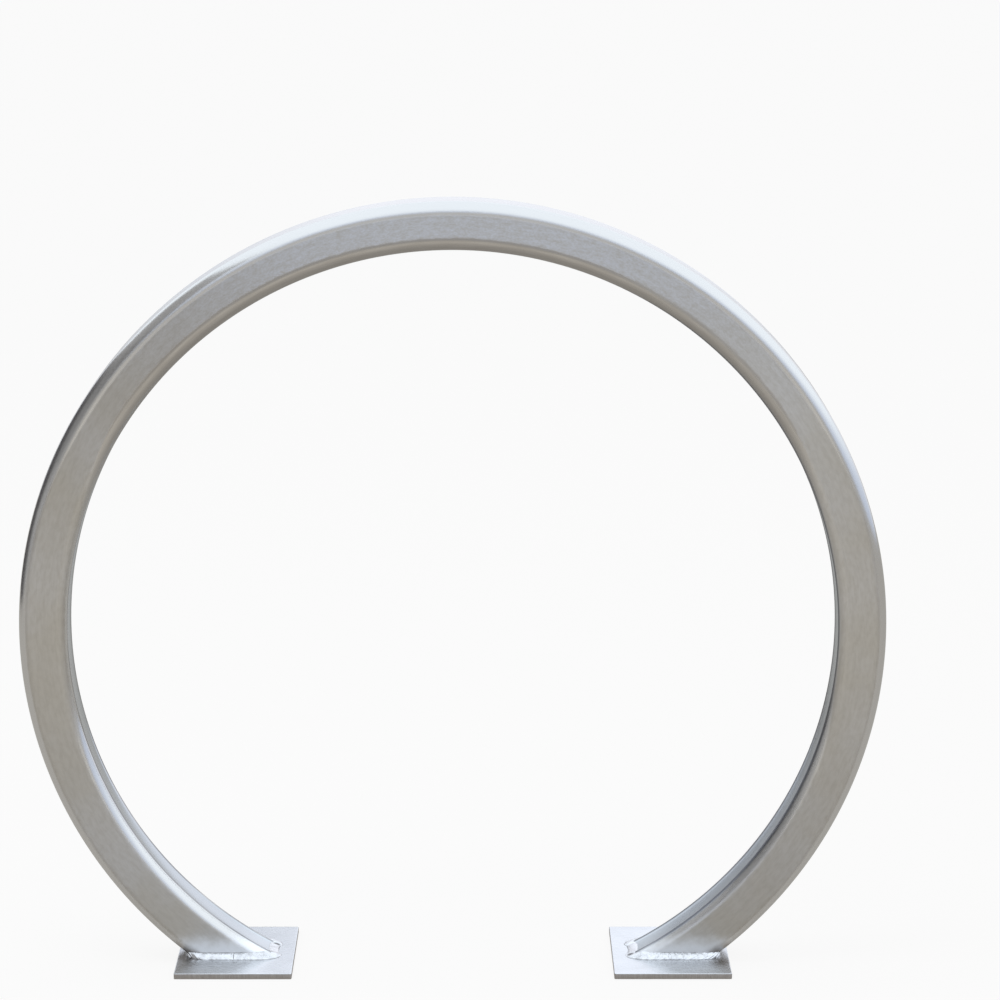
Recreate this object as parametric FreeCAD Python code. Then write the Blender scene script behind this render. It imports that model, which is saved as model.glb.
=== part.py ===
import FreeCAD, Part
import bisect
import math
import os

# Hoop bike rack: a square steel tube rolled into most of a circle and welded upright on two foot plates.
# All sizes are in millimetres. X runs along the hoop's width, Y is its depth and Z is up.
# The origin is on the ground, midway between the feet, in the middle plane of the hoop.

# Driving sizes of the tube and the hoop
RACK_HEIGHT = 823.0
HOOP_DIAMETER = 914.4
TUBE_SIDE = 50.8
TUBE_WALL = 4.8
TUBE_CORNER = 8.0

# Rolling draws the tube's inner wall in, and lets the outer one sink a little.
# The steep angle is how far a corner turns past square, the shallow one is what is left of it beside
# the bowed middle, and the bend is the radius between the two. Swept corners are rounded in flats
# that meet at these angles from the wall, within a fifth of a millimetre of the arc.
INNER_WALL = {"steep": 22.0, "shallow": 5.0, "bend": 10.0}
OUTER_WALL = {"steep": 6.0, "shallow": 3.0, "bend": 30.0}
CORNER_TURNS = (90.0, 67.5, 45.0, 22.5, 0.0)

# The hollow, and how far rolling leaves the middle of each wall inside its corners
HOLLOW_CORNER = 2.0
INNER_DIP = 1.8
OUTER_DIP = 0.6

# Driving sizes of the foot plates
PLATE_WIDTH = 125.0
PLATE_DEPTH = 146.0
PLATE_THICKNESS = 6.35
PLATE_CENTRE = 234.0
PLATE_CORNER = 1.0
PLATE_EDGE_BREAK = 0.5

# Driving sizes of the fillet welds round each foot of the tube.
# A leg is smallest at the toe, where the tube's inner wall runs out on the plate, and soon full.
WELD_LEG = 6.4
TOE_LEG = 4.4
LEG_GROWTH = 0.13
WELD_CROWN = 0.7
CROWN_SHOULDER = 0.3
RIPPLE_PITCH = 5.5
RIPPLE_RISE = 0.3
RIPPLE_HEIGHT = 0.3
WELD_END_LENGTH = 2.5
WELD_END_SHARE = 0.55
WELD_LAP = 1.5
TOE_WELD_LAP = -0.5
WELD_BITE = 2.0
OUTLINE_SAMPLES = 400
TURN_SAMPLES = 5
SEWING_GAP = 0.001

# Worked out from the sizes above
HALF_TUBE = TUBE_SIDE / 2
OUTER_RADIUS = HOOP_DIAMETER / 2
INNER_RADIUS = OUTER_RADIUS - TUBE_SIDE
HOOP_CENTRE_Z = RACK_HEIGHT - OUTER_RADIUS
CENTRE_ABOVE_PLATE = HOOP_CENTRE_Z - PLATE_THICKNESS
TOE_X = math.sqrt(INNER_RADIUS**2 - CENTRE_ABOVE_PLATE**2)
SWEEP_START = 15.0
SIDES = {"left": -1, "right": 1}

Vector = FreeCAD.Vector
UP = Vector(0, 0, 1)


def below_centre(radius, across):
    """A point of the tube's section, which is drawn straight below the hoop's centre."""
    return Vector(0, across, HOOP_CENTRE_Z - radius)


def rolled_wall(face_radius, outward, wall):
    """One rolled wall with its two rounded corners, from one flat side of the tube to the other.

    outward is 1 on the outside of the hoop and -1 on the inside.
    """
    steep = math.radians(wall["steep"])
    shallow = math.radians(wall["shallow"])
    corner_across = HALF_TUBE - TUBE_CORNER
    corner_out = -TUBE_CORNER
    reach = TUBE_CORNER + wall["bend"]
    bend_across = corner_across - reach * math.sin(steep)
    bend_out = corner_out + reach * math.cos(steep)
    outline = []
    for angle in [math.radians(turn) for turn in CORNER_TURNS] + [-steep]:
        across = corner_across + TUBE_CORNER * math.sin(angle)
        outline.append((across, corner_out + TUBE_CORNER * math.cos(angle)))
    middle_across = bend_across + wall["bend"] * math.sin(shallow)
    middle_out = bend_out - wall["bend"] * math.cos(shallow)
    outline.append((middle_across, middle_out))
    bow = middle_across * math.tan(shallow / 2)
    front = [below_centre(face_radius + outward * out, -across) for across, out in outline]
    back = [below_centre(face_radius + outward * out, across) for across, out in reversed(outline)]
    lowest = below_centre(face_radius + outward * (middle_out - bow), 0)
    middle = Part.Arc(front[-1], lowest, back[0]).toShape()
    return Part.makePolygon(front).Edges + [middle] + Part.makePolygon(back).Edges


def tube_section():
    """The closed outline of the tube's section."""
    outer = rolled_wall(OUTER_RADIUS, 1, OUTER_WALL)
    inner = rolled_wall(INNER_RADIUS, -1, INNER_WALL)
    sides = []
    for side in (-1, 1):
        outer_end = below_centre(OUTER_RADIUS - TUBE_CORNER, side * HALF_TUBE)
        inner_end = below_centre(INNER_RADIUS + TUBE_CORNER, side * HALF_TUBE)
        sides.append(Part.LineSegment(outer_end, inner_end).toShape())
    return Part.Face(Part.Wire(Part.sortEdges(outer + inner + sides)[0]))


def hollow_section():
    """The tube's hollow, a wall's thickness inside its section, with its corners cut off."""
    across = HALF_TUBE - TUBE_WALL
    outer = OUTER_RADIUS - OUTER_DIP - TUBE_WALL
    inner = INNER_RADIUS + INNER_DIP + TUBE_WALL
    points = []
    for radius, toward in ((outer, -1), (inner, 1)):
        for side in (toward, -toward):
            on_wall = below_centre(radius, side * (across - HOLLOW_CORNER))
            on_side = below_centre(radius + toward * HOLLOW_CORNER, side * across)
            points += [on_side, on_wall] if side == toward else [on_wall, on_side]
    return Part.Face(Part.makePolygon(points + points[:1]))


def below_plate_tops():
    """Everything below the plates' upper faces, as one block to cut with."""
    size = 2 * HOOP_DIAMETER
    return Part.makeBox(size, size, size, Vector(-size / 2, -size / 2, PLATE_THICKNESS - size))


def sweep_round_hoop(section):
    """A section swept round the hoop and cut off level with the plates' upper faces."""
    axis_at = Vector(0, 0, HOOP_CENTRE_Z)
    started = section.copy()
    started.rotate(axis_at, Vector(0, 1, 0), SWEEP_START)
    swept = started.revolve(axis_at, Vector(0, 1, 0), 360 - 2 * SWEEP_START)
    return swept.cut(below_plate_tops()).Solids[0]


def make_hoop_tube():
    """The rolled tube, hollow and open at both feet, where the plates close it."""
    return sweep_round_hoop(tube_section().cut(hollow_section()).Faces[0])


def make_base_plate(side):
    """One foot plate with its edges broken."""
    corner = Vector(side * PLATE_CENTRE - PLATE_WIDTH / 2, -PLATE_DEPTH / 2, 0)
    plate = Part.makeBox(PLATE_WIDTH, PLATE_DEPTH, PLATE_THICKNESS, corner)
    upright = [edge for edge in plate.Edges if edge.BoundBox.ZLength > PLATE_THICKNESS / 2]
    plate = plate.makeFillet(PLATE_CORNER, upright)
    top = [edge for edge in plate.Edges if edge.BoundBox.ZMin > PLATE_THICKNESS / 2]
    return plate.makeChamfer(PLATE_EDGE_BREAK, top)


def foot_outline():
    """The right foot's outline on its plate, from the middle of the heel by way of the back.

    Each point of the tube's section reaches the plate where its own circle round the hoop's
    centre does, so the outline is the section stretched along X.
    """
    points = []
    for point in tube_section().OuterWire.discretize(Number=OUTLINE_SAMPLES + 1)[:-1]:
        radius = HOOP_CENTRE_Z - point.z
        points.append(Vector(math.sqrt(radius**2 - CENTRE_ABOVE_PLATE**2), point.y, PLATE_THICKNESS))
    middle = sum(point.x for point in points) / len(points)
    return sorted(points, key=lambda point: math.atan2(point.y, point.x - middle) % math.tau)


class Outline:
    """A closed outline that can be walked, with its level direction away from the tube.

    The direction is taken over a few samples, so that it turns evenly round the corners.
    """

    def __init__(self, points):
        self.points = points
        self.walked = [0.0]
        for here, following in zip(points, points[1:] + points[:1]):
            self.walked.append(self.walked[-1] + here.distanceToPoint(following))
        self.length = self.walked[-1]

    def outward(self, index):
        """The level direction away from the tube at one of the outline's points."""
        count = len(self.points)
        along = self.points[(index + TURN_SAMPLES) % count] - self.points[(index - TURN_SAMPLES) % count]
        return along.normalize().cross(UP)

    def at(self, distance):
        """The point and the outward direction at a distance walked."""
        distance = distance % self.length
        index = bisect.bisect_right(self.walked, distance) - 1
        following = (index + 1) % len(self.points)
        share = (distance - self.walked[index]) / (self.walked[index + 1] - self.walked[index])
        point = self.points[index] * (1 - share) + self.points[following] * share
        outward = self.outward(index) * (1 - share) + self.outward(following) * share
        return point, outward.normalize()

    def corners(self):
        """How far along each of the four corners has turned halfway."""
        count = len(self.points)
        across = [abs(self.outward(index).x) > abs(self.outward(index).y) for index in range(count)]
        return [self.walked[index] for index in range(count) if across[index] != across[index - 1]]


def weld_section(outline, distance, ripple, share):
    """The closed section of a weld where it has come a distance along the outline.

    Its face bulges between two legs, one out over the plate and one up the tube's wall,
    and its root lies inside the metal, which is cut away later.
    """
    root, outward = outline.at(distance)
    lean = outward.x * CENTRE_ABOVE_PLATE / root.x
    up_wall = (outward * lean + UP).normalize()
    off_wall = (outward - UP * lean).normalize()
    full_leg = min(WELD_LEG, TOE_LEG + LEG_GROWTH * (root.x - TOE_X))
    leg = full_leg * share + RIPPLE_HEIGHT * ripple
    bulge = (outward + up_wall).normalize() * (WELD_CROWN * share + RIPPLE_HEIGHT * ripple)
    on_plate = root + outward * leg
    on_wall = root + up_wall * leg
    return [
        on_plate,
        on_plate * (1 - CROWN_SHOULDER) + on_wall * CROWN_SHOULDER + bulge,
        on_plate * CROWN_SHOULDER + on_wall * (1 - CROWN_SHOULDER) + bulge,
        on_wall,
        on_wall - off_wall * WELD_BITE,
        root - off_wall * WELD_BITE - UP * WELD_BITE,
        on_plate - UP * WELD_BITE,
    ]


def skin_over(sections):
    """A solid through sections that follow one another, with two flat facets between neighbouring points."""
    faces = []
    for near, far in zip(sections, sections[1:]):
        for index in range(len(near)):
            before = index - 1
            faces.append(Part.Face(Part.makePolygon([near[before], near[index], far[index], near[before]])))
            faces.append(Part.Face(Part.makePolygon([near[before], far[index], far[before], near[before]])))
    for end in (sections[0], sections[-1]):
        faces.append(Part.Face(Part.makePolygon(end + end[:1])))
    shell = Part.Shell(faces)
    shell.sewShape()
    solid = Part.Solid(shell)
    solid.fix(SEWING_GAP, SEWING_GAP, SEWING_GAP)
    return solid


def weld_bead(outline, first, last):
    """A weld laid along the outline in ripples, each rising quickly and falling slowly."""
    count = round((last - first) / RIPPLE_PITCH)
    pitch = (last - first) / count
    sections = []
    for number in range(2 * count + 1):
        ripple = number % 2
        distance = first + pitch * (number // 2 + RIPPLE_RISE * ripple)
        from_end = min(distance - first, last - distance)
        rounding = math.sqrt(min(from_end / WELD_END_LENGTH, 1.0))
        share = WELD_END_SHARE + (1 - WELD_END_SHARE) * rounding
        sections.append(weld_section(outline, distance, ripple, share))
    return skin_over(sections)


def foot_welds():
    """The four welds round the right foot, each cut to what it seats on and to those before it."""
    outline = Outline(foot_outline())
    heel_back, toe_back, toe_front, heel_front = outline.corners()
    runs = {
        "front_weld": (toe_front - WELD_LAP, heel_front + WELD_LAP),
        "back_weld": (heel_back - WELD_LAP, toe_back + WELD_LAP),
        "toe_weld": (toe_back - TOE_WELD_LAP, toe_front + TOE_WELD_LAP),
        "heel_weld": (heel_front - WELD_LAP, outline.length + heel_back + WELD_LAP),
    }
    metal = [below_plate_tops(), sweep_round_hoop(tube_section())]
    welds = {}
    for name, (first, last) in runs.items():
        weld = weld_bead(outline, first, last)
        for taken in metal + list(welds.values()):
            weld = weld.cut(taken)
        welds[name] = max(weld.Solids, key=lambda solid: solid.Volume)
    return welds


def make_rack():
    """Every piece of the rack by its name."""
    pieces = {"hoop_tube": make_hoop_tube()}
    right_welds = foot_welds()
    for name, side in SIDES.items():
        pieces[name + "_base_plate"] = make_base_plate(side)
        for run, weld in right_welds.items():
            pieces[name + "_" + run] = weld if side > 0 else weld.mirror(Vector(0, 0, 0), Vector(1, 0, 0))
    return pieces


os.makedirs("parts", exist_ok=True)
for node, shape in make_rack().items():
    shape.exportStep("parts/" + node + ".step")
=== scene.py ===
import math

import bmesh
import bpy
from mathutils import Matrix, Vector


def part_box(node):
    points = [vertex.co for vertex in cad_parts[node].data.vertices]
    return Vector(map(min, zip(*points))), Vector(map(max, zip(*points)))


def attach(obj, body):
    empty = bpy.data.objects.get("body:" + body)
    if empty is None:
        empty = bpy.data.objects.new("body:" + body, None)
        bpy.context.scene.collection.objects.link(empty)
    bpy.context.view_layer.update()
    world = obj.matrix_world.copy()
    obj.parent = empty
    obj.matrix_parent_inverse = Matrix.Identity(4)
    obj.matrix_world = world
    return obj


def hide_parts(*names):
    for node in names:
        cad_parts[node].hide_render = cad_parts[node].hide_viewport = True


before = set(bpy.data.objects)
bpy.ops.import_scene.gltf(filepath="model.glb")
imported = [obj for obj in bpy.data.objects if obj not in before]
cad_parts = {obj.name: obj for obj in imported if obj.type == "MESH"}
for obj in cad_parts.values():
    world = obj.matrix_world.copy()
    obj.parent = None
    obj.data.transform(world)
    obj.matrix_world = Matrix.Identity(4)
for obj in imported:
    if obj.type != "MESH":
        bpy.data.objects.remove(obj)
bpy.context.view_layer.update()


# The studio
# A pale floor under a soft white sky, with one large soft lamp above and a little to the left. A
# dark flag and a grey card, which only the metal's mirrors see, stand in for a room. The camera
# stands 3.3 m in front of the rack, above its top, and looks slightly down on it.

# A pair such as SKY_TURNS_LEFT or BRUSHED_FROM is where a change starts and where it is complete.
FLOOR_HALF_WIDTH = 30.0
FLOOR_PALE = 0.84
FLOOR_WHITE_SEEN = 0.88
FLOOR_WHITE_MIRRORED = 0.50
MIRRORED_POOL = (0.0, -2.1, 0.0)
MIRRORED_POOL_REACH = (2.0, 0.3)
MIRRORED_LEVELS = (0.57, 1.50)
MIRRORED_WARM = (1.03, 1.00, 0.92, 1.0)
PLAIN_WHITE = (1.0, 1.0, 1.0, 1.0)
SKY_IN_FRONT = (0.90, 1.02, 1.26, 1.0)
SKY_BEHIND = (1.34, 1.38, 1.50, 1.0)
SKY_BEHIND_LEFT = (1.06, 1.10, 1.20, 1.0)
SKY_HAZE = (1.00, 1.05, 1.14, 1.0)
SKY_OVERHEAD = (1.50, 1.64, 1.80, 1.0)
SKY_ON_MATT = (0.74, 0.74, 0.74, 1.0)
SKY_TURNS_LEFT = (-0.10, -0.30)
SKY_TURNS_BEHIND = (-0.1, 0.6)
HAZE_BEHIND = (0.3, 0.8)
HAZE_LOW = (0.14, 0.03)
OVERHEAD_FROM = (0.02, 0.35)
OVERHEAD_LIFT = 0.30
LIFTED_BEHIND = (0.0, 0.6)
FLAG_PLACE = -2.6
FLAG_OUTLINE = [(-7.0, 0.0), (1.6, 0.0), (1.6, 1.7), (-0.2, 2.1), (-0.8, 3.4), (-7.0, 3.4)]
FLAG_DARK = (0.17, 0.17, 0.18, 1.0)
FLAG_GREY = (0.72, 0.73, 0.75, 1.0)
FLAG_GREY_NEARER = (-0.3, -1.3)
FLAG_GREY_HIGHER = (0.6, 2.2)
FLAG_BAND_FROM = (0.50, 0.90)
FLAG_BAND_TO = (2.1, 1.6)
FLAG_BAND_DARKER = 0.5
CARD_PLACE = 1.5
CARD_OUTLINE = [(-0.50, 0.0), (-0.10, 0.0), (-0.14, 0.30), (-0.26, 0.47), (-0.50, 0.47)]
CARD_DARK = (0.08, 0.08, 0.09, 1.0)
CARD_GREY = (0.95, 0.95, 0.97, 1.0)
CARD_GREY_RIGHT = (-0.40, -0.06)
LAMP_SIDE = 1.4
LAMP_WATTS = 16.0
LAMP_PLACE = Vector((-0.9, -0.4, 3.1))
LAMP_AIM = Vector((0, 0, 0.3))
LENS = 117.0
SENSOR = 36.0
CAMERA_PLACE = Vector((0.0246, -3.3342, 1.2404))
CAMERA_YAW = 0.0074
CAMERA_PITCH = 0.2170
CAMERA_ROLL = 0.0023


def feed(tree, slot, value):
    """Gives a node's input a link or a plain value."""
    if isinstance(value, Wire):
        tree.links.new(value.socket, slot)
    elif isinstance(value, bpy.types.NodeSocket):
        tree.links.new(value, slot)
    elif slot.type == "VECTOR" and isinstance(value, (int, float)):
        slot.default_value = (value, value, value)
    else:
        slot.default_value = value


def compute(tree, operation, *values):
    """A math node, on vectors where any of its values is one."""
    vectors = any(
        isinstance(v, Wire) and v.socket.type == "VECTOR" or isinstance(v, tuple) for v in values
    )
    node = tree.nodes.new("ShaderNodeVectorMath" if vectors else "ShaderNodeMath")
    node.operation = operation
    for slot, value in zip(node.inputs, values):
        feed(tree, slot, value)
    single = operation in ("DOT_PRODUCT", "LENGTH", "DISTANCE")
    return Wire(tree, node.outputs[1] if vectors and single else node.outputs[0])


class Wire:
    """A number or vector that runs through a node tree, so that a formula reads as one."""

    def __init__(self, tree, socket):
        self.tree = tree
        self.socket = socket

    def __add__(self, other):
        return compute(self.tree, "ADD", self, other)

    def __radd__(self, other):
        return compute(self.tree, "ADD", other, self)

    def __sub__(self, other):
        return compute(self.tree, "SUBTRACT", self, other)

    def __rsub__(self, other):
        return compute(self.tree, "SUBTRACT", other, self)

    def __mul__(self, other):
        return compute(self.tree, "MULTIPLY", self, other)

    def __rmul__(self, other):
        return compute(self.tree, "MULTIPLY", other, self)

    def __truediv__(self, other):
        return compute(self.tree, "DIVIDE", self, other)

    def apply(self, operation, *others):
        return compute(self.tree, operation, self, *others)

    def equals(self, number):
        """1 where a whole number is this one, and 0 elsewhere."""
        return compute(self.tree, "COMPARE", self, number, 0.1)


def add_node(tree, kind, settings=None, **inputs):
    """A node with its settings, fed by input name; an underscore stands for a space."""
    node = tree.nodes.new(kind)
    for name, value in (settings or {}).items():
        setattr(node, name, value)
    for name, value in inputs.items():
        feed(tree, node.inputs[name.replace("_", " ")], value)
    return node


def output(node, name=0):
    return Wire(node.id_data, node.outputs[name])


def parts_of(vector):
    """The three numbers of a vector."""
    node = add_node(vector.tree, "ShaderNodeSeparateXYZ", Vector=vector)
    return [output(node, axis) for axis in "XYZ"]


def place_on(tree):
    """Where a point lies on its own object, in metres."""
    return output(tree.nodes.new("ShaderNodeTexCoord"), "Object")


def ramp(value, low, high, start=0.0, end=1.0):
    """Runs softly from start to end while the value goes from low to high."""
    node = add_node(
        value.tree, "ShaderNodeMapRange", {"interpolation_type": "SMOOTHSTEP"},
        Value=value, From_Min=low, From_Max=high, To_Min=start, To_Max=end,
    )
    return output(node)


def mix_colours(share, first, second):
    """One colour going over to another."""
    node = share.tree.nodes.new("ShaderNodeMix")
    node.data_type = "RGBA"
    node.clamp_factor = True
    colours = [slot for slot in node.inputs if slot.type == "RGBA"]
    feed(share.tree, node.inputs[0], share)
    feed(share.tree, colours[0], first)
    feed(share.tree, colours[1], second)
    return Wire(share.tree, [slot for slot in node.outputs if slot.type == "RGBA"][0])


def seen_and_mirrored(tree):
    """Two shares: 1 where the camera looks at it, straight or through glass, and 1 where a mirror
    does. Both are 0 where it only gives light."""
    path = tree.nodes.new("ShaderNodeLightPath")
    seen = output(path, "Is Camera Ray") + output(path, "Is Transmission Ray")
    return seen.apply("MINIMUM", 1.0), output(path, "Is Glossy Ray")


def flat_sheet(name, corners):
    """A flat sheet of the studio with an empty material, and that material's tree."""
    mesh = bpy.data.meshes.new(name)
    mesh.from_pydata(corners, [], [tuple(range(len(corners)))])
    sheet = bpy.data.objects.new(name, mesh)
    bpy.context.scene.collection.objects.link(sheet)
    material = bpy.data.materials.new(name + "_surface")
    material.use_nodes = True
    material.node_tree.nodes.clear()
    mesh.materials.append(material)
    return sheet, material.node_tree


def make_floor():
    """A pale floor that shows near white, and keeps the rack's shadow. Mirrored, it is slightly
    warm, and brighter in a pool in front of the rack."""
    half = FLOOR_HALF_WIDTH
    corners = [(-half, -half, 0), (half, -half, 0), (half, half, 0), (-half, half, 0)]
    floor, tree = flat_sheet("studio_floor", corners)
    matt = add_node(tree, "ShaderNodeBsdfDiffuse", Color=(FLOOR_PALE, FLOOR_PALE, FLOOR_PALE, 1.0))
    seen, mirrored = seen_and_mirrored(tree)
    off_pool = place_on(tree).apply("DISTANCE", MIRRORED_POOL)
    level = ramp(off_pool, *MIRRORED_POOL_REACH, *MIRRORED_LEVELS)
    warmth = mix_colours(mirrored, PLAIN_WHITE, MIRRORED_WARM)
    white = add_node(tree, "ShaderNodeEmission", Color=warmth, Strength=seen + mirrored * level)
    blend = tree.nodes.new("ShaderNodeMixShader")
    feed(tree, blend.inputs[0], seen * FLOOR_WHITE_SEEN + mirrored * FLOOR_WHITE_MIRRORED)
    feed(tree, blend.inputs[1], matt.outputs[0])
    feed(tree, blend.inputs[2], white.outputs[0])
    add_node(tree, "ShaderNodeOutputMaterial", Surface=blend.outputs[0])


def make_sky():
    """Cool white in front and behind, brighter overhead, and plain and dimmer as mere light."""
    world = bpy.data.worlds.new("soft_sky")
    bpy.context.scene.world = world
    world.use_nodes = True
    tree = world.node_tree
    tree.nodes.clear()
    way = output(tree.nodes.new("ShaderNodeTexCoord"), "Generated")
    across, depth, height = parts_of(way)
    behind = mix_colours(ramp(across, *SKY_TURNS_LEFT), SKY_BEHIND, SKY_BEHIND_LEFT)
    low = mix_colours(ramp(depth, *SKY_TURNS_BEHIND), SKY_IN_FRONT, behind)
    low = mix_colours(ramp(depth, *HAZE_BEHIND) * ramp(height, *HAZE_LOW), low, SKY_HAZE)
    rise = height - ramp(depth, *LIFTED_BEHIND) * OVERHEAD_LIFT
    colour = mix_colours(ramp(rise, *OVERHEAD_FROM), low, SKY_OVERHEAD)
    seen, mirrored = seen_and_mirrored(tree)
    colour = mix_colours((seen + mirrored).apply("MINIMUM", 1.0), SKY_ON_MATT, colour)
    sky = add_node(tree, "ShaderNodeBackground", Color=colour, Strength=1.0)
    add_node(tree, "ShaderNodeOutputWorld", Surface=sky.outputs[0])


def hang_cloth(name, corners, colour_at):
    """A flat cloth that only the metal's mirrors see. Its colour is worked out from its place."""
    cloth, tree = flat_sheet(name, corners)
    matt = add_node(tree, "ShaderNodeBsdfDiffuse", Color=colour_at(place_on(tree)))
    add_node(tree, "ShaderNodeOutputMaterial", Surface=matt.outputs[0])
    cloth.visible_camera = False
    cloth.visible_diffuse = False
    cloth.visible_shadow = False


def flag_colour(place):
    """Grey at the flag's near end and high up, and dark at its far end and in a band half way up."""
    _, depth, height = parts_of(place)
    grey = ramp(depth, *FLAG_GREY_NEARER).apply("MAXIMUM", ramp(height, *FLAG_GREY_HIGHER))
    band = ramp(height, *FLAG_BAND_FROM) * ramp(height, *FLAG_BAND_TO)
    return mix_colours(grey - band * FLAG_BAND_DARKER, FLAG_DARK, FLAG_GREY)


def card_colour(place):
    """Dark on the card's left, and light grey to its right."""
    across, _, _ = parts_of(place)
    return mix_colours(ramp(across, *CARD_GREY_RIGHT), CARD_DARK, CARD_GREY)


def make_lamp():
    """One large soft lamp, which neither the camera nor the metal's mirrors see."""
    light = bpy.data.lights.new("soft_lamp", "AREA")
    light.size = LAMP_SIDE
    light.energy = LAMP_WATTS
    lamp = bpy.data.objects.new("soft_lamp", light)
    bpy.context.scene.collection.objects.link(lamp)
    lamp.location = LAMP_PLACE
    aim = LAMP_AIM - LAMP_PLACE
    lamp.rotation_euler = aim.to_track_quat("-Z", "Y").to_euler()
    lamp.visible_camera = False
    lamp.visible_glossy = False


def make_camera():
    """The photograph's own view, found by fitting the rack's known points to their places in it."""
    forward = Vector((
        math.sin(CAMERA_YAW) * math.cos(CAMERA_PITCH),
        math.cos(CAMERA_YAW) * math.cos(CAMERA_PITCH),
        -math.sin(CAMERA_PITCH),
    ))
    level = forward.cross(Vector((0, 0, 1))).normalized()
    right = math.cos(CAMERA_ROLL) * level + math.sin(CAMERA_ROLL) * level.cross(forward)
    up = right.cross(forward)
    view = bpy.data.cameras.new("photo_view")
    view.lens = LENS
    view.sensor_width = SENSOR
    camera = bpy.data.objects.new("photo_view", view)
    bpy.context.scene.collection.objects.link(camera)
    turn = Matrix((right, up, -forward)).transposed().to_4x4()
    camera.matrix_world = Matrix.Translation(CAMERA_PLACE) @ turn
    bpy.context.scene.camera = camera


make_floor()
make_sky()
hang_cloth("dark_flag", [(FLAG_PLACE, y, z) for y, z in FLAG_OUTLINE], flag_colour)
hang_cloth("grey_card", [(x, CARD_PLACE, z) for x, z in CARD_OUTLINE], card_colour)
make_lamp()
make_camera()
bpy.context.scene.view_settings.view_transform = "Standard"


# The hoop
# One length of 2 inch square stainless tube, rolled into most of a circle and cut off level at both
# ends. Rolling draws its inner and outer walls in between the rounded corners. Its flat faces are
# brushed along its length, and its corners and its other walls are smoother from the rolls.

TUBE_SIDE = 0.0508
TUBE_WALL = 0.0048
CORNER_TIGHT = 0.0065
CORNER_SOFT_TURN = math.radians(45)
CORNER_SOFT_REACH = 0.0096
WALL_FLAT_EDGE = 0.0003

# A rolled wall leaves its corner at its steep angle in degrees, bends over to its shallow one, and
# bows from there to its middle
OUTER_ROLLED = {"steep": 6, "shallow": 3, "bend": 0.030}
INNER_ROLLED = {"steep": 22, "shallow": 5, "bend": 0.010}

CORNER_STEPS = 12
BEND_STEPS = 6
BOW_STEPS = 8
SIDE_STEPS = 4
STATIONS = 260
CRISP_TUBE_FOLD = math.radians(50)
MERGE_WITHIN = 1e-6
SEAM_GAP = 1e-7

hoop_low, hoop_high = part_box("hoop_tube")
OUTER_RADIUS = hoop_high.x
HOOP_CENTRE = hoop_high.z - OUTER_RADIUS
PLATE_TOP = hoop_low.z
CENTRELINE = OUTER_RADIUS - TUBE_SIDE / 2


def carry_on(points, radius, heading, steps):
    """Adds an arc to an outline of (across, out, heading), from its last point to a new heading. A
    radius below zero bends it the other way."""
    across, out, start = points[-1]
    hub = (across - radius * math.sin(start), out + radius * math.cos(start))
    for step in range(1, steps + 1):
        turn = start + (heading - start) * step / steps
        points.append((hub[0] + radius * math.sin(turn), hub[1] - radius * math.cos(turn), turn))


def rolled_half_wall(steep, shallow, bend):
    """Half a wall of the section as (across, out, heading): from the side face, round a corner that
    is soft towards that face and tighter towards this wall, to the wall's middle."""
    soft_end = TUBE_SIDE / 2 - CORNER_TIGHT + CORNER_TIGHT * math.sin(CORNER_SOFT_TURN)
    points = [(TUBE_SIDE / 2, soft_end - CORNER_SOFT_REACH, math.pi / 2)]
    soft_radius = CORNER_SOFT_REACH / math.sin(CORNER_SOFT_TURN)
    carry_on(points, soft_radius, math.pi / 2 + CORNER_SOFT_TURN, CORNER_STEPS)
    carry_on(points, CORNER_TIGHT, math.pi + math.radians(steep), CORNER_STEPS)
    carry_on(points, -bend, math.pi + math.radians(shallow), BEND_STEPS)
    bow = points[-1][0] / math.sin(math.radians(shallow))
    carry_on(points, -bow, math.pi, BOW_STEPS)
    return points


def half_of_section():
    """The section's outline from the middle of the inner wall to the middle of the outer wall."""
    outer = rolled_half_wall(**OUTER_ROLLED)
    inner = rolled_half_wall(**INNER_ROLLED)
    inner = [(across, -out, math.pi - heading) for across, out, heading in inner]
    low, high = inner[0][1] + WALL_FLAT_EDGE, outer[0][1] - WALL_FLAT_EDGE
    steps = range(SIDE_STEPS + 1)
    side = [(TUBE_SIDE / 2, low + (high - low) * step / SIDE_STEPS, math.pi / 2) for step in steps]
    return inner[::-1] + side + outer


def other_side(half):
    """The same outline on the section's other side, in the order that carries on round it."""
    return [(-across, out, -heading) for across, out, heading in reversed(half)]


half_outline = half_of_section()
outline = half_outline[1:] + other_side(half_outline)[1:]


def new_object(name, points, faces):
    """A mesh of these points and faces, in the scene."""
    mesh = bpy.data.meshes.new(name)
    mesh.from_pydata(points, [], faces)
    piece = bpy.data.objects.new(name, mesh)
    bpy.context.scene.collection.objects.link(piece)
    return piece


def ring_of_metal(name):
    """The tube's section as a flat ring of faces, its hollow one wall thickness inside."""
    ring = []
    for across, out, heading in outline:
        ring.append((across, out, 0.0))
        ring.append((across - TUBE_WALL * math.sin(heading), out + TUBE_WALL * math.cos(heading), 0.0))
    count = len(ring)
    faces = [(i, (i + 2) % count, (i + 3) % count, i + 1) for i in range(0, count, 2)]
    return new_object(name, ring, faces)


def new_tree(name, sizes):
    """A Geometry Nodes tree with one named input for each size, and its two ends."""
    tree = bpy.data.node_groups.new(name, "GeometryNodeTree")
    tree.interface.new_socket("Geometry", in_out="INPUT", socket_type="NodeSocketGeometry")
    for label in sizes:
        tree.interface.new_socket(label, in_out="INPUT", socket_type="NodeSocketFloat")
    tree.interface.new_socket("Geometry", in_out="OUTPUT", socket_type="NodeSocketGeometry")
    return tree, tree.nodes.new("NodeGroupInput"), tree.nodes.new("NodeGroupOutput")


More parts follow.
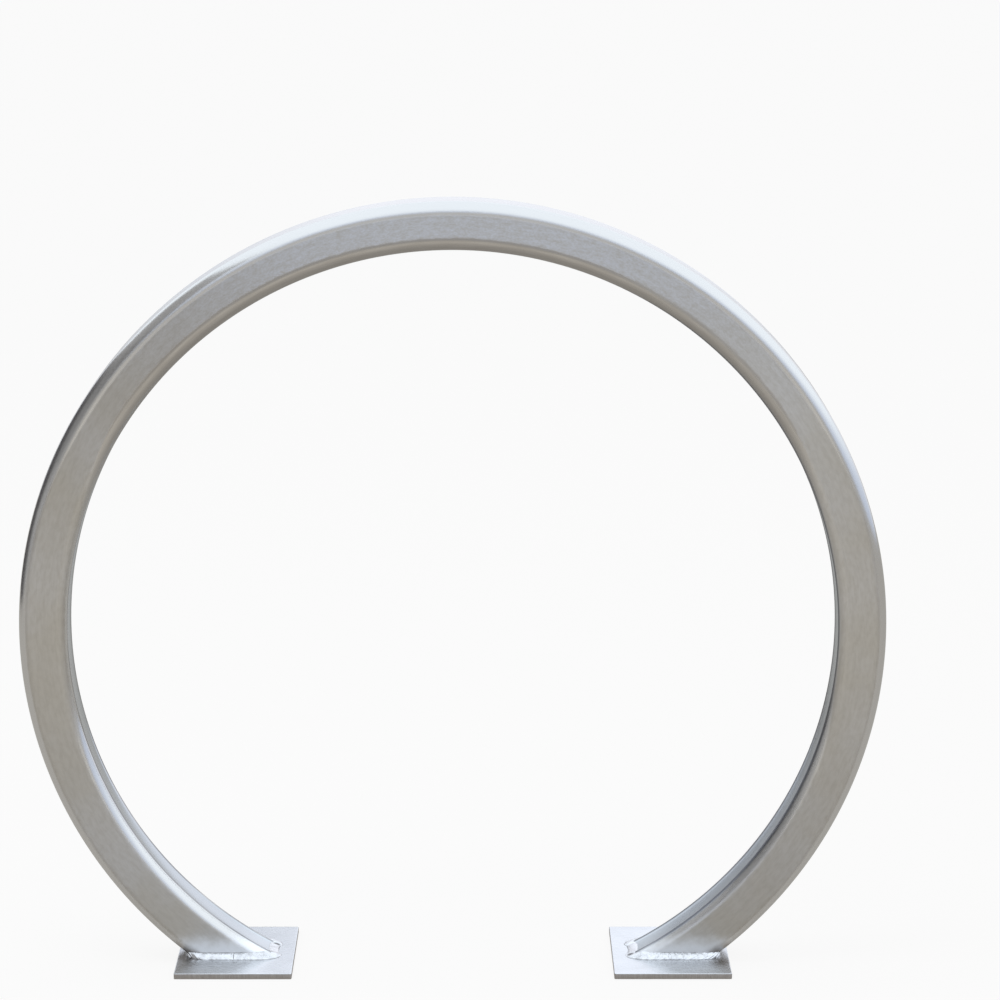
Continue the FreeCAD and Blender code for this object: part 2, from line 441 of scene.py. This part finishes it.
def smooth_but_for_edges(geometry, angle):
    """Smooth shading, with edges sharper than the angle kept crisp."""
    tree = geometry.tree
    smooth = add_node(tree, "GeometryNodeSetShadeSmooth", Geometry=geometry, Shade_Smooth=True)
    folds = output(tree.nodes.new("GeometryNodeInputMeshEdgeAngle"), "Unsigned Angle")
    crisp = add_node(
        tree, "GeometryNodeSetShadeSmooth", {"domain": "EDGE"}, Geometry=output(smooth),
        Selection=folds.apply("GREATER_THAN", angle), Shade_Smooth=False,
    )
    return output(crisp)


def end_tree(geometry, material, group_output):
    """Makes a tree's result real, gives it its metal and sends it out."""
    tree = geometry.tree
    real = add_node(tree, "GeometryNodeRealizeInstances", Geometry=geometry)
    dressed = add_node(tree, "GeometryNodeSetMaterial", Geometry=output(real), Material=material)
    tree.links.new(dressed.outputs[0], group_output.inputs[0])


def store(geometry, name, value, kind="FLOAT_VECTOR"):
    """Keeps a value on every point under a name, for later nodes and for the material."""
    node = add_node(
        geometry.tree, "GeometryNodeStoreNamedAttribute", {"data_type": kind},
        Geometry=geometry, Name=name,
    )
    slot = [s for s in node.inputs if s.name == "Value"][0]
    feed(geometry.tree, slot, value)
    return output(node)


def carried(tree, name, kind="FLOAT_VECTOR"):
    """The value that a point carries under this name."""
    return output(add_node(tree, "GeometryNodeInputNamedAttribute", {"data_type": kind}, Name=name))


def position(tree):
    return output(tree.nodes.new("GeometryNodeInputPosition"))


def point(tree, x, y, z):
    """A vector of three numbers."""
    return output(add_node(tree, "ShaderNodeCombineXYZ", X=x, Y=y, Z=z))


def roll_into_hoop(material):
    """Draws the section out into a straight tube, and rolls that round the hoop's centre."""
    sizes = ["Centreline radius", "Centre height", "Plate top", "Stations"]
    tree, start, end = new_tree("roll_into_hoop", sizes)
    radius, centre, foot, stations = [output(start, label) for label in sizes]
    section = output(start, "Geometry")
    faces_beside = output(tree.nodes.new("GeometryNodeInputMeshEdgeNeighbors"))
    loops = add_node(
        tree, "GeometryNodeMeshToCurve", Mesh=section, Selection=faces_beside.equals(1.0)
    )
    line = add_node(tree, "GeometryNodeCurvePrimitiveLine", Start=(0, 0, 0), End=(0, 0, 1))
    line = add_node(tree, "GeometryNodeResampleCurve", Curve=output(line), Count=stations)
    walls = add_node(tree, "GeometryNodeCurveToMesh", Curve=output(line), Profile_Curve=output(loops))
    far_end = add_node(tree, "GeometryNodeTransform", Geometry=section, Translation=(0, 0, 1))
    joined = tree.nodes.new("GeometryNodeJoinGeometry")
    for piece in (section, output(walls), output(far_end)):
        tree.links.new(piece.socket, joined.inputs[0])
    tube = add_node(
        tree, "GeometryNodeMergeByDistance", Geometry=output(joined), Distance=MERGE_WITHIN
    )
    across, out, share = parts_of(position(tree))
    reach = radius + out
    half_turn = math.pi - ((centre - foot) / reach).apply("ARCCOSINE")
    angle = (share * 2.0 - 1.0) * half_turn
    tube = store(output(tube), "straight_tube", point(tree, across, out, angle * radius))
    rolled = point(tree, reach * angle.apply("SINE"), across, centre + reach * angle.apply("COSINE"))
    tube = store(tube, "rolled", rolled)
    tube = add_node(tree, "GeometryNodeSetPosition", Geometry=tube, Position=carried(tree, "rolled"))
    end_tree(smooth_but_for_edges(output(tube), CRISP_TUBE_FOLD), material, end)
    return tree


def work_out(piece, tree, **sizes):
    """Runs a tree on a piece with its sizes set, and leaves the result as a plain closed mesh."""
    modifier = piece.modifiers.new(tree.name, "NODES")
    modifier.node_group = tree
    for item in tree.interface.items_tree:
        key = item.name.replace(" ", "_").lower()
        if item.in_out == "INPUT" and key in sizes:
            modifier[item.identifier] = float(sizes[key])
    graph = bpy.context.evaluated_depsgraph_get()
    mesh = bpy.data.meshes.new_from_object(piece.evaluated_get(graph), depsgraph=graph)
    mesh.name = piece.name
    piece.modifiers.clear()
    piece.data = mesh
    shell = bmesh.new()
    shell.from_mesh(mesh)
    bmesh.ops.remove_doubles(shell, verts=shell.verts, dist=SEAM_GAP)
    bmesh.ops.recalc_face_normals(shell, faces=shell.faces)
    shell.to_mesh(mesh)
    shell.free()


def shade(red, green, blue):
    """A colour as a screen shows it, 0 to 255, turned into the numbers that light works with."""
    def linear(level):
        level /= 255.0
        return level / 12.92 if level <= 0.04045 else ((level + 0.055) / 1.055) ** 2.4

    return (linear(red), linear(green), linear(blue), 1.0)


def start_metal(name, mirror_share=1.0):
    """A metal with nothing but its Principled shader, and that shader and its tree."""
    material = bpy.data.materials.new(name)
    material.use_nodes = True
    tree = material.node_tree
    shader = tree.nodes["Principled BSDF"]
    shader.inputs["Metallic"].default_value = mirror_share
    return material, tree, shader


def kept_on_mesh(tree, name, kind="Fac"):
    """The value that the mesh keeps under this name, as a material reads it."""
    return output(add_node(tree, "ShaderNodeAttribute", {"attribute_name": name}), kind)


def noise(vector, scale, detail=2.0, roughness=0.5):
    """Clouds of about 0 to 1, finer where the scale is greater."""
    node = add_node(
        vector.tree, "ShaderNodeTexNoise", Vector=vector, Scale=scale, Detail=detail, Roughness=roughness
    )
    return output(node)


BUMP_STRENGTH = 0.5


def bump(tree, shader, height, distance):
    """Shades a metal as if its surface rose by a height times a distance."""
    node = add_node(tree, "ShaderNodeBump", Height=height, Distance=distance, Strength=BUMP_STRENGTH)
    feed(tree, shader.inputs["Normal"], node.outputs["Normal"])


SATIN_STEEL = shade(180, 176, 169)
SATIN_STEEL_COOL = shade(186, 184, 182)
# Painted reflection of the sky, which the faces take on towards the top
SATIN_STEEL_SKY_REFLECTION = shade(181, 182, 187)
SATIN_STEEL_DULL = shade(159, 154, 146)
ROLLED_STEEL = shade(196, 194, 191)
# Painted shade for the creases on the inner side of the tube
CREASE_PAINTED_SHADE = shade(88, 90, 96)
# Painted reflection of the near ground, darkening the strip high on the hoop
STRIP_PAINTED_REFLECTION = shade(146, 141, 135)
INNER_WALL_STEEL = shade(178, 182, 185)
GROUND_STEEL = shade(236, 237, 239)
# Painted shade for the outer wall low at the heel
HEEL_TUBE_SHADE = shade(118, 108, 98)
FINE_GRAIN = 2200.0
BROAD_GRAIN = 420.0
MOTTLE = 240.0
MOTTLE_SHARE = 0.26
SPECKS = 800.0
SPECK_SHARE = 0.36
CLOUDS = 9.0
RUB_MARKS = 130.0
BORDER_WAVES = 70.0
BORDER_WAVE_WIDTH = 0.0030
BRUSHED_FROM = (-0.0131, -0.0103)
BRUSHED_TO = (0.0126, 0.0104)
BRUSHED_SIDES = (0.0195, 0.0225)
BRUSHED_WIDER_BELOW = (0.62, 0.46)
BRUSHED_OVER_OUTER = 0.0065
BRUSHED_OVER_INNER = 0.0055
BRUSHED_ROUND_INNER = 0.0065
ROUND_INNER_FROM = (0.22, 0.32)
SKY_REFLECTION_FROM = (0.58, 0.78)
SPECKLED_FROM = (0.55, 0.74)
INNER_HALF = (0.005, -0.005)
INNER_WALL_SIDES = (0.0160, 0.0130)
STRIP_SIDES = (0.0150, 0.0200)
STRIP_FROM = (0.38, 0.62)
RIGHT_FOOT = (0.12, 0.24)
CREASE_PLACE = 0.0168
CREASE_FURTHER_RIGHT = 0.0008
CREASE_WIDTH = 0.0032
CREASE_WIDER_RIGHT = 0.0016
GROUND_BELOW = (0.030, 0.008)
GROUND_SIDES = (0.0140, 0.0215)
GROUND_SHARE = 0.75
HEEL_SHADE_BELOW = (0.038, 0.014)
HEEL_SHADE_OUTER = (0.010, 0.021)
HEEL_SHADE_SHARE = 0.8
BRUSHED_ROUGHNESS = 0.34
PRESSED_ROUGHNESS = 0.17
BRUSHED_ANISOTROPY = 0.8
QUARTER_TURN = 0.25
TUBE_GRAIN_DEPTH = 0.00005


def brushed_tube_material():
    """Satin steel: flat faces brushed along the tube, and smoother corners and walls that the rolls
    have pressed, with painted shade in the creases where the walls draw in. A strip along each
    face's inner edge, with a wavy border, missed the brush, and high on the hoop it is darkened by
    a painted reflection of the ground. By the welds it is ground bright, with painted shade low at
    the heel. Towards the top the faces carry a painted reflection of the cool sky."""
    material, tree, shader = start_metal("brushed_tube_steel")
    lay = kept_on_mesh(tree, "straight_tube", "Vector")
    across, out, along = parts_of(lay)
    sideways = across.apply("ABSOLUTE")
    place = place_on(tree)
    right, _, height = parts_of(place)
    fine = noise(lay * (1.0, 1.0, 0.03), FINE_GRAIN, 3.0, 0.6)
    broad = noise(lay * (1.0, 1.0, 0.06), BROAD_GRAIN, 3.0, 0.6)
    mottle = noise(lay * (1.0, 1.0, 0.45), MOTTLE, 3.0, 0.55)
    specks = noise(lay * (1.0, 1.0, 0.5), SPECKS, 2.0, 0.6)
    cloud = noise(lay, CLOUDS, 3.0, 0.5)
    rub = noise(place, RUB_MARKS, 3.0, 0.5)

    # How much it is brushed: fully on the face, and low on the hoop some way over its edges too
    wander = (noise(lay * (0.0, 0.0, 1.0), BORDER_WAVES, 3.0, 0.6) - 0.5) * BORDER_WAVE_WIDTH
    below = ramp(height, *BRUSHED_WIDER_BELOW)
    over_outer = below * BRUSHED_OVER_OUTER
    over_inner = below * (BRUSHED_OVER_INNER + ramp(height, *ROUND_INNER_FROM) * BRUSHED_ROUND_INNER)
    face = ramp(out + wander + over_inner, *BRUSHED_FROM)
    face = face * ramp(out + wander * 0.5 - over_outer, *BRUSHED_TO)
    face = face * ramp(sideways, *BRUSHED_SIDES)

    # The brushed steel, more speckled towards the top, and bluer there with a painted reflection of the
    # sky
    base = mix_colours(ramp(cloud, 0.35, 0.7), SATIN_STEEL, SATIN_STEEL_COOL)
    base = mix_colours(ramp(height, *SKY_REFLECTION_FROM), base, SATIN_STEEL_SKY_REFLECTION)
    speckled = ramp(height, *SPECKLED_FROM)
    spots = ramp(mottle, 0.35, 0.7) * MOTTLE_SHARE + ramp(specks, 0.35, 0.65) * speckled * SPECK_SHARE
    dull = ramp(broad, 0.35, 0.75) * 0.12 + ramp(fine, 0.3, 0.8) * 0.2 + spots
    base = mix_colours(dull, base, SATIN_STEEL_DULL)

    # The steel that the rolls pressed, with painted shade in its creases
    inside = ramp(out, *INNER_HALF)
    rolled = mix_colours(inside * ramp(sideways, *INNER_WALL_SIDES), ROLLED_STEEL, INNER_WALL_STEEL)
    # Painted reflection: the strip along the inner edge, high on the hoop, is darkened as if mirroring
    # the near ground
    strip = inside * ramp(sideways, *STRIP_SIDES) * ramp(height, *STRIP_FROM)
    rolled = mix_colours(strip * (0.6 + broad * 0.4), rolled, STRIP_PAINTED_REFLECTION)
    # Painted shade along the crease on the inner side, wider and darker on the right foot
    right_foot = ramp(right, *RIGHT_FOOT) * inside
    off_crease = sideways - CREASE_PLACE - right_foot * CREASE_FURTHER_RIGHT
    off_crease = off_crease / (right_foot * CREASE_WIDER_RIGHT + CREASE_WIDTH)
    crease = 1.0 - off_crease.apply("ABSOLUTE").apply("MINIMUM", 1.0)
    crease_shade_strength = ramp(broad, 0.1, 0.6).apply("MAXIMUM", right_foot)
    crease = ramp(crease, 0.0, 0.7) * crease_shade_strength * inside * (0.80 + right_foot * 0.12)
    rolled = mix_colours(crease, rolled, CREASE_PAINTED_SHADE)
    steel = mix_colours(face, rolled, base)

    # Ground bright round the welds, and painted shade low on the outer wall at the heel, under its
    # overhang
    ground = ramp(height - rub * 0.012, *GROUND_BELOW) * (1.0 - crease)
    ground = ground * ramp(sideways, *GROUND_SIDES, 0.25, 1.0)
    steel = mix_colours(ground * GROUND_SHARE, steel, GROUND_STEEL)
    # Painted shade low on the outer wall at the heel
    tube_heel_shade = ramp(height + rub * 0.01, *HEEL_SHADE_BELOW) * ramp(out, *HEEL_SHADE_OUTER) * HEEL_SHADE_SHARE
    feed(tree, shader.inputs["Base Color"], mix_colours(tube_heel_shade, steel, HEEL_TUBE_SHADE))

    # The sheen, drawn out across the grain that runs along the tube
    brushed = BRUSHED_ROUGHNESS + fine * 0.06 + broad * 0.05
    pressed = PRESSED_ROUGHNESS + broad * 0.06 + right_foot * 0.08
    feed(tree, shader.inputs["Roughness"], pressed + face * (brushed - pressed) + ground * 0.16)
    shader.inputs["Anisotropic"].default_value = BRUSHED_ANISOTROPY
    shader.inputs["Anisotropic Rotation"].default_value = QUARTER_TURN
    angle = along / CENTRELINE
    grain_way = point(tree, angle.apply("COSINE"), 0.0, -1.0 * angle.apply("SINE"))
    feed(tree, shader.inputs["Tangent"], grain_way)
    grain = fine * 0.4 + broad * 0.15 + mottle * 0.45
    bump(tree, shader, grain * (0.1 + face * 0.9), TUBE_GRAIN_DEPTH)
    return material


tube_material = brushed_tube_material()
hoop = ring_of_metal("rolled_hoop_tube")
work_out(
    hoop, roll_into_hoop(tube_material),
    centreline_radius=CENTRELINE, centre_height=HOOP_CENTRE, plate_top=PLATE_TOP, stations=STATIONS,
)
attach(hoop, "root")
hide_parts("hoop_tube")


# The base plates
# Two 1/4 inch stainless plates sheared from bright sheet, one flat under each end of the hoop.
# Their tops are smooth and almost mirror-like, and their sheared edges are greyer and rough.

PLATE_EDGE_ROUND = 0.0007
PLATE_FLAT_FROM = 0.00126
PLATE_CORNER = 0.0014
PLATE_CORNER_STEPS = 6
PLATE_EDGE_STEPS = 4
PLATE_STEEL = shade(208, 210, 213)
PLATE_STEEL_GREY = shade(196, 198, 201)
PLATE_MIRROR_SHARE = 0.88
SHEARED_STEEL = shade(172, 167, 163)
SHEARED_STEEL_DARK = shade(149, 143, 138)
# Painted shade on the plate's top beside each heel
HEEL_PLATE_SHADE = shade(108, 99, 90)
HEEL_SHADE_SPOTS = ((0.2875, 0.0360, 0.0), (-0.2875, 0.0235, 0.0))
HEEL_SHADE_REACH = (0.022, 0.008)
HEEL_SHADE_STRENGTH = 0.6
ROLLING_GRAIN = 900.0
SHEAR_GRAIN = 1300.0
PLATE_CLOUDS = 34.0
PLATE_ROUGHNESS = 0.23
PLATE_GRAIN_DEPTH = 0.00003


def plate_outline(low, high, inset):
    """The plate seen from above, its four corners just taken off, as (x, y) points."""
    radius = PLATE_CORNER - inset
    left, right = low.x + PLATE_CORNER, high.x - PLATE_CORNER
    front, back = low.y + PLATE_CORNER, high.y - PLATE_CORNER
    points = []
    for quarter, (x, y) in enumerate([(right, back), (left, back), (left, front), (right, front)]):
        for step in range(PLATE_CORNER_STEPS + 1):
            turn = math.radians(90 * (quarter + step / PLATE_CORNER_STEPS))
            points.append((x + radius * math.cos(turn), y + radius * math.sin(turn)))
    return points


def make_plate(name, low, high):
    """A plate with small rounded edges above and below, closed and all in one mesh. A last ring
    just inside each edge keeps the flat sides flat in their shading."""
    levels = [(PLATE_FLAT_FROM, 0.0)]
    for step in range(PLATE_EDGE_STEPS + 1):
        turn = math.radians(90 * step / PLATE_EDGE_STEPS)
        inset = PLATE_EDGE_ROUND * (1 - math.sin(turn))
        levels.append((inset, PLATE_EDGE_ROUND * (1 - math.cos(turn))))
    rise = high.z - low.z
    levels += [(inset, rise - height) for inset, height in reversed(levels)]
    points = []
    for inset, height in levels:
        points += [(x, y, low.z + height) for x, y in plate_outline(low, high, inset)]
    count = len(points) // len(levels)
    faces = [tuple(reversed(range(count)))]
    for ring in range(0, len(points) - count, count):
        above = ring + count
        for i in range(count):
            j = (i + 1) % count
            faces.append((ring + i, ring + j, above + j, above + i))
    faces.append(tuple(range(len(points) - count, len(points))))
    plate = new_object(name, points, faces)
    for face in plate.data.polygons:
        face.use_smooth = True
    return plate


def plate_material():
    """Bright sheet on the flat sides and greyer sheared metal round the edges, with painted shade on the
    top beside each heel, where it mirrors the tube's dark underside.
    """
    material, tree, shader = start_metal("sheet_plate_steel", PLATE_MIRROR_SHARE)
    place = place_on(tree)
    facing = output(tree.nodes.new("ShaderNodeNewGeometry"), "True Normal")
    edge = ramp(parts_of(facing)[2].apply("ABSOLUTE"), 0.8, 0.2)
    rolling = noise(place * (0.04, 1.0, 1.0), ROLLING_GRAIN, 3.0, 0.6)
    cloud = noise(place, PLATE_CLOUDS, 3.0)
    shear = noise(place * (1.0, 1.0, 0.08), SHEAR_GRAIN, 3.0, 0.65)
    top = mix_colours(ramp(cloud, 0.3, 0.8) * 0.7 + rolling * 0.3, PLATE_STEEL, PLATE_STEEL_GREY)
    # Painted shade beside each heel, standing in for the mirrored dark underside of the tube
    folded = place * (1.0, 0.0, 0.0) + place.apply("ABSOLUTE") * (0.0, 1.0, 0.0)
    right_off, left_off = [folded.apply("DISTANCE", heel) for heel in HEEL_SHADE_SPOTS]
    plate_heel_shade = ramp(right_off.apply("MINIMUM", left_off) + cloud * 0.008, *HEEL_SHADE_REACH)
    top = mix_colours(plate_heel_shade * HEEL_SHADE_STRENGTH, top, HEEL_PLATE_SHADE)
    side = mix_colours(ramp(shear, 0.3, 0.7), SHEARED_STEEL, SHEARED_STEEL_DARK)
    feed(tree, shader.inputs["Base Color"], mix_colours(edge, top, side))
    feed(tree, shader.inputs["Roughness"], PLATE_ROUGHNESS + rolling * 0.08 + edge * 0.16)
    bump(tree, shader, rolling * 0.5 + edge * shear, PLATE_GRAIN_DEPTH)
    return material


plate_steel = plate_material()
for side in ("left", "right"):
    plate = make_plate(side + "_foot_plate", *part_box(side + "_base_plate"))
    plate.data.materials.append(plate_steel)
    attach(plate, "root")
    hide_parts(side + "_base_plate")


# The welds
# Fillet beads of bright weld metal laid by hand all round both ends of the hoop: a long one along
# each side, a flat one over the toe, and one in under the overhanging heel. Each has the ripples
# of the pool that laid it, soft rounded ends, and here and there a restart or a small crater.

WELD_SIZES = [
    "Plate leg", "Tube leg", "Crown", "Ripple pitch", "Ripple height", "End length",
    "Seed", "Restart place", "Crater place", "Spacing",
]
BEAD_AROUND = 18
LOOP_RADIUS = 0.001
BEAD_WANDER = 190.0
BEAD_RAGGED = 430.0
RIPPLE_LAG = 0.55
RIPPLE_WANDER = 1.6
BLUNT_END = 0.38
RESTART_LENGTH = 0.0011
RESTART_DEPTH = 0.0006
CRATER_LENGTH = 0.0026
CRATER_DEPTH = 0.0019
CRISP_BEAD_FOLD = math.radians(60)


def dip_at(run, place, length):
    """1 at a place along the run, falling off to 0 a length away from it."""
    gap = ((run - place) / length).apply("ABSOLUTE").apply("MINIMUM", 1.0)
    return 1.0 - gap * gap


def lay_bead(material):
    """Lays a bead along a guide that carries, at each point, the way out over the plate and the way
    up the tube's wall. Its section is a crown between its two toes, closed at its root."""
    tree, start, end = new_tree("lay_weld_bead", WELD_SIZES)
    sizes = {label: output(start, label) for label in WELD_SIZES}
    guide = output(add_node(tree, "GeometryNodeMeshToCurve", Mesh=output(start, "Geometry")))
    guide = output(add_node(
        tree, "GeometryNodeResampleCurve", {"mode": "LENGTH"}, Curve=guide, Length=sizes["Spacing"]
    ))
    run = output(tree.nodes.new("GeometryNodeSplineParameter"), "Length")
    whole = output(tree.nodes.new("GeometryNodeSplineLength"), "Length")
    guide = store(guide, "foot", position(tree))
    guide = store(guide, "run", run, "FLOAT")
    guide = store(guide, "run_left", whole - run, "FLOAT")
    loop = add_node(
        tree, "GeometryNodeCurvePrimitiveCircle", Resolution=BEAD_AROUND, Radius=LOOP_RADIUS
    )
    turn = output(tree.nodes.new("GeometryNodeInputIndex"))
    loop = store(output(loop), "turn", turn, "FLOAT")
    bead = add_node(tree, "GeometryNodeCurveToMesh", Curve=guide, Profile_Curve=loop, Fill_Caps=True)

    # Where a point of the skin lies: along the run, and from the toe on the plate to that on the tube
    foot, outward, up_wall = [carried(tree, name) for name in ("foot", "outward", "up_wall")]
    run, left = carried(tree, "run", "FLOAT"), carried(tree, "run_left", "FLOAT")
    rippled, turn = carried(tree, "rippled", "FLOAT"), carried(tree, "turn", "FLOAT")
    root = turn.equals(BEAD_AROUND - 1.0)
    share = (turn / (BEAD_AROUND - 2.0)).apply("MINIMUM", 1.0)
    hump = 4.0 * share * (1.0 - share)
    off_centre = 2.0 * share - 1.0

    # The ripples of the pool, which lag behind at the toes, and an unsteady hand
    seeded = foot + point(tree, sizes["Seed"], 0.0, 0.0)
    wander = noise(seeded, BEAD_WANDER, 2.0) - 0.5
    ragged = noise(seeded + point(tree, 0.0, 0.0, share * 0.004), BEAD_RAGGED, 3.0) - 0.5
    pitch = sizes["Ripple pitch"]
    lag = off_centre * off_centre * pitch * RIPPLE_LAG
    phase = (run + lag + wander * pitch * RIPPLE_WANDER) / pitch
    wave = (phase.apply("FRACT") * 2.0 - 1.0).apply("ABSOLUTE")
    wave = 1.0 - wave * wave * wave
    ripple = wave * sizes["Ripple height"] * rippled

    # Its rounded ends, its restart and its crater
    near_end = (run.apply("MINIMUM", left) / sizes["End length"]).apply("MINIMUM", 1.0)
    from_full = 1.0 - near_end
    full = (1.0 - from_full * from_full).apply("MAXIMUM", 0.0).apply("SQRT")
    full = full * (1.0 - BLUNT_END) + BLUNT_END
    crater = dip_at(run, sizes["Crater place"], CRATER_LENGTH)
    dips = dip_at(run, sizes["Restart place"], RESTART_LENGTH) * RESTART_DEPTH + crater * CRATER_DEPTH

    # Its skin: out over the plate, up the tube, and a crown between the two
    plate_leg = (sizes["Plate leg"] + wander * 0.0011 + ripple * 0.7) * full
    tube_leg = (sizes["Tube leg"] + wander * 0.0009 + ragged * 0.0006 + ripple * 0.8) * full
    rise = (sizes["Crown"] + ragged * 0.0003) * full * hump + ripple * hump.apply("SQRT") - dips * hump
    crown_way = (outward + up_wall).apply("NORMALIZE")
    skin = foot + outward * (plate_leg * (1.0 - share)) + up_wall * (tube_leg * share) + crown_way * rise
    settled = add_node(tree, "GeometryNodeSwitch", {"input_type": "VECTOR"}, Switch=root)
    feed(tree, settled.inputs["False"], skin)
    feed(tree, settled.inputs["True"], foot)
    shape = store(output(bead), "bead_share", share, "FLOAT")
    shape = store(shape, "bead_crater", crater * hump, "FLOAT")
    shape = store(shape, "settled", output(settled))
    shape = add_node(
        tree, "GeometryNodeSetPosition", Geometry=shape, Position=carried(tree, "settled")
    )
    end_tree(smooth_but_for_edges(output(shape), CRISP_BEAD_FOLD), material, end)
    return tree


WELD_STEEL = shade(208, 208, 209)
WELD_STEEL_GREY = shade(174, 173, 174)
# Soot in the craters, and painted shade along the toes
WELD_SOOT_AND_SHADE = shade(84, 80, 78)
WELD_GRIT = 900.0
WELD_CLOUDS = 160.0
WELD_ROUGHNESS = 0.20
WELD_GRIT_DEPTH = 0.0001


def weld_material():
    """Bright silver weld metal, greyer in patches, with a thin dark line of painted shade at its toes
    and soot in its craters."""
    material, tree, shader = start_metal("bright_weld_steel")
    place = place_on(tree)
    grit = noise(place, WELD_GRIT, 3.0, 0.6)
    cloud = noise(place, WELD_CLOUDS, 3.0)
    patches = ramp(cloud, 0.4, 0.75) * 0.7 + ramp(grit, 0.45, 0.8) * 0.3
    colour = mix_colours(patches, WELD_STEEL, WELD_STEEL_GREY)
    to_toes = ((kept_on_mesh(tree, "bead_share") - 0.5) * 2.0).apply("ABSOLUTE")
    # Painted shade: a thin dark line along both toes
    at_toes = ramp(to_toes + (cloud - 0.5) * 0.25, 0.86, 1.0)
    soot_and_shade = at_toes.apply("MAXIMUM", ramp(kept_on_mesh(tree, "bead_crater"), 0.3, 0.9))
    feed(tree, shader.inputs["Base Color"], mix_colours(soot_and_shade * 0.8, colour, WELD_SOOT_AND_SHADE))
    feed(tree, shader.inputs["Roughness"], WELD_ROUGHNESS + grit * 0.14 + soot_and_shade * 0.2)
    bump(tree, shader, grit, WELD_GRIT_DEPTH)
    return material


FLAT_SIDE_REACH = 0.0139
FLAT_SIDE_FADE = 0.0052


def on_the_foot(spots):
    """Where these spots of the section meet the right plate, each as its place, the way out over
    the plate from it and the way up the tube: straight up on its flat sides, and along the tube on
    its corners and its other walls, so that the bead lies on the metal all the way."""
    drop = HOOP_CENTRE - PLATE_TOP
    found = []
    for across, out, heading in spots:
        reach = CENTRELINE + out
        side = math.sqrt(reach * reach - drop * drop)
        radial = Vector((side / reach, 0, -drop / reach))
        facing = math.sin(heading) * Vector((0, 1, 0)) - math.cos(heading) * radial
        outward = Vector((facing.x, facing.y, 0)).normalized()
        along_tube = Vector((drop / side, 0, 1))
        on_flat = min(1.0, max(0.0, (FLAT_SIDE_REACH - abs(out)) / FLAT_SIDE_FADE))
        up_tube = along_tube.lerp(Vector((0, 0, 1)), on_flat)
        found.append((Vector((side, across, PLATE_TOP)), outward, up_tube))
    return found


def make_guide(name, points, flip, rippled):
    """A line of points that carries what the bead's tree reads."""
    placed = [[vector * Vector((*flip, 1)) for vector in spot] for spot in points]
    mesh = bpy.data.meshes.new(name)
    mesh.from_pydata([spot[0] for spot in placed], [(i, i + 1) for i in range(len(placed) - 1)], [])
    for column, label in ((1, "outward"), (2, "up_wall")):
        layer = mesh.attributes.new(label, "FLOAT_VECTOR", "POINT")
        for index, spot in enumerate(placed):
            layer.data[index].vector = spot[column]
    layer = mesh.attributes.new("rippled", "FLOAT", "POINT")
    for index in range(len(placed)):
        layer.data[index].value = rippled[0] + (rippled[1] - rippled[0]) * index / (len(placed) - 1)
    guide = bpy.data.objects.new(name, mesh)
    bpy.context.scene.collection.objects.link(guide)
    return guide


SIDE_WELD_TO_TOE = 0.0185
SIDE_WELD_TO_HEEL = 0.0205
TOE_WELD_REACH = 0.0205
HEEL_WELD_REACH = 0.0220
NOWHERE = -1.0
RIPPLE_PITCH = 0.0058
STATION_SPACING = 0.00035
SEED_STEP = 0.37
SIDE_BEAD = {"plate_leg": 0.0060, "tube_leg": 0.0062, "crown": 0.0009, "end_length": 0.0040}
TOE_BEAD = {"plate_leg": 0.0040, "tube_leg": 0.0036, "crown": 0.0012, "end_length": 0.0040}
HEEL_BEAD = {"plate_leg": 0.0052, "tube_leg": 0.0042, "crown": 0.0003, "end_length": 0.0040}

# Each bead's sizes, the ways it is turned over from the right foot's back, how rippled it is at its
# two ends, its ripples' height, and its restart and its crater as shares of its length
BEADS = {
    "right_front": (SIDE_BEAD, (1, -1), (0.3, 1.0), 0.00050, NOWHERE, NOWHERE),
    "left_front": (SIDE_BEAD, (-1, -1), (0.2, 0.3), 0.00030, 0.52, 0.985),
    "right_back": (SIDE_BEAD, (1, 1), (1.0, 0.7), 0.00038, NOWHERE, 0.95),
    "left_back": (SIDE_BEAD, (-1, 1), (0.8, 1.0), 0.00038, 0.4, 0.05),
    "right_toe": (TOE_BEAD, (1, 1), (0.5, 0.6), 0.00020, NOWHERE, 0.08),
    "left_toe": (TOE_BEAD, (-1, 1), (0.5, 0.4), 0.00020, NOWHERE, 0.84),
    "right_heel": (HEEL_BEAD, (1, 1), (0.7, 0.7), 0.00030, NOWHERE, NOWHERE),
    "left_heel": (HEEL_BEAD, (-1, 1), (0.7, 0.7), 0.00030, NOWHERE, NOWHERE),
}

side_spots = [
    (across, out, heading) for across, out, heading in half_outline
    if across >= (SIDE_WELD_TO_TOE if out < 0 else SIDE_WELD_TO_HEEL)
]
toe_half = [spot for spot in half_outline if spot[1] < 0 and spot[0] < TOE_WELD_REACH]
heel_half = [spot for spot in half_outline if spot[1] > 0 and spot[0] < HEEL_WELD_REACH]
weld_lines = {
    "front": on_the_foot(side_spots),
    "back": on_the_foot(side_spots),
    "toe": on_the_foot(other_side(toe_half)[:-1] + toe_half),
    "heel": on_the_foot(heel_half + other_side(heel_half)[1:]),
}
weld_steel = weld_material()
bead_tree = lay_bead(weld_steel)
for number, (where, bead) in enumerate(BEADS.items()):
    sizes, flip, rippled, ripple_height, restart, crater = bead
    line = weld_lines[where.split("_")[1]]
    length = sum((line[i + 1][0] - line[i][0]).length for i in range(len(line) - 1))
    weld = make_guide(where + "_bead", line, flip, rippled)
    work_out(
        weld, bead_tree, ripple_pitch=RIPPLE_PITCH, ripple_height=ripple_height,
        seed=number * SEED_STEP, restart_place=restart * length, crater_place=crater * length,
        spacing=STATION_SPACING, **sizes,
    )
    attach(weld, "root")
    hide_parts(where + "_weld")
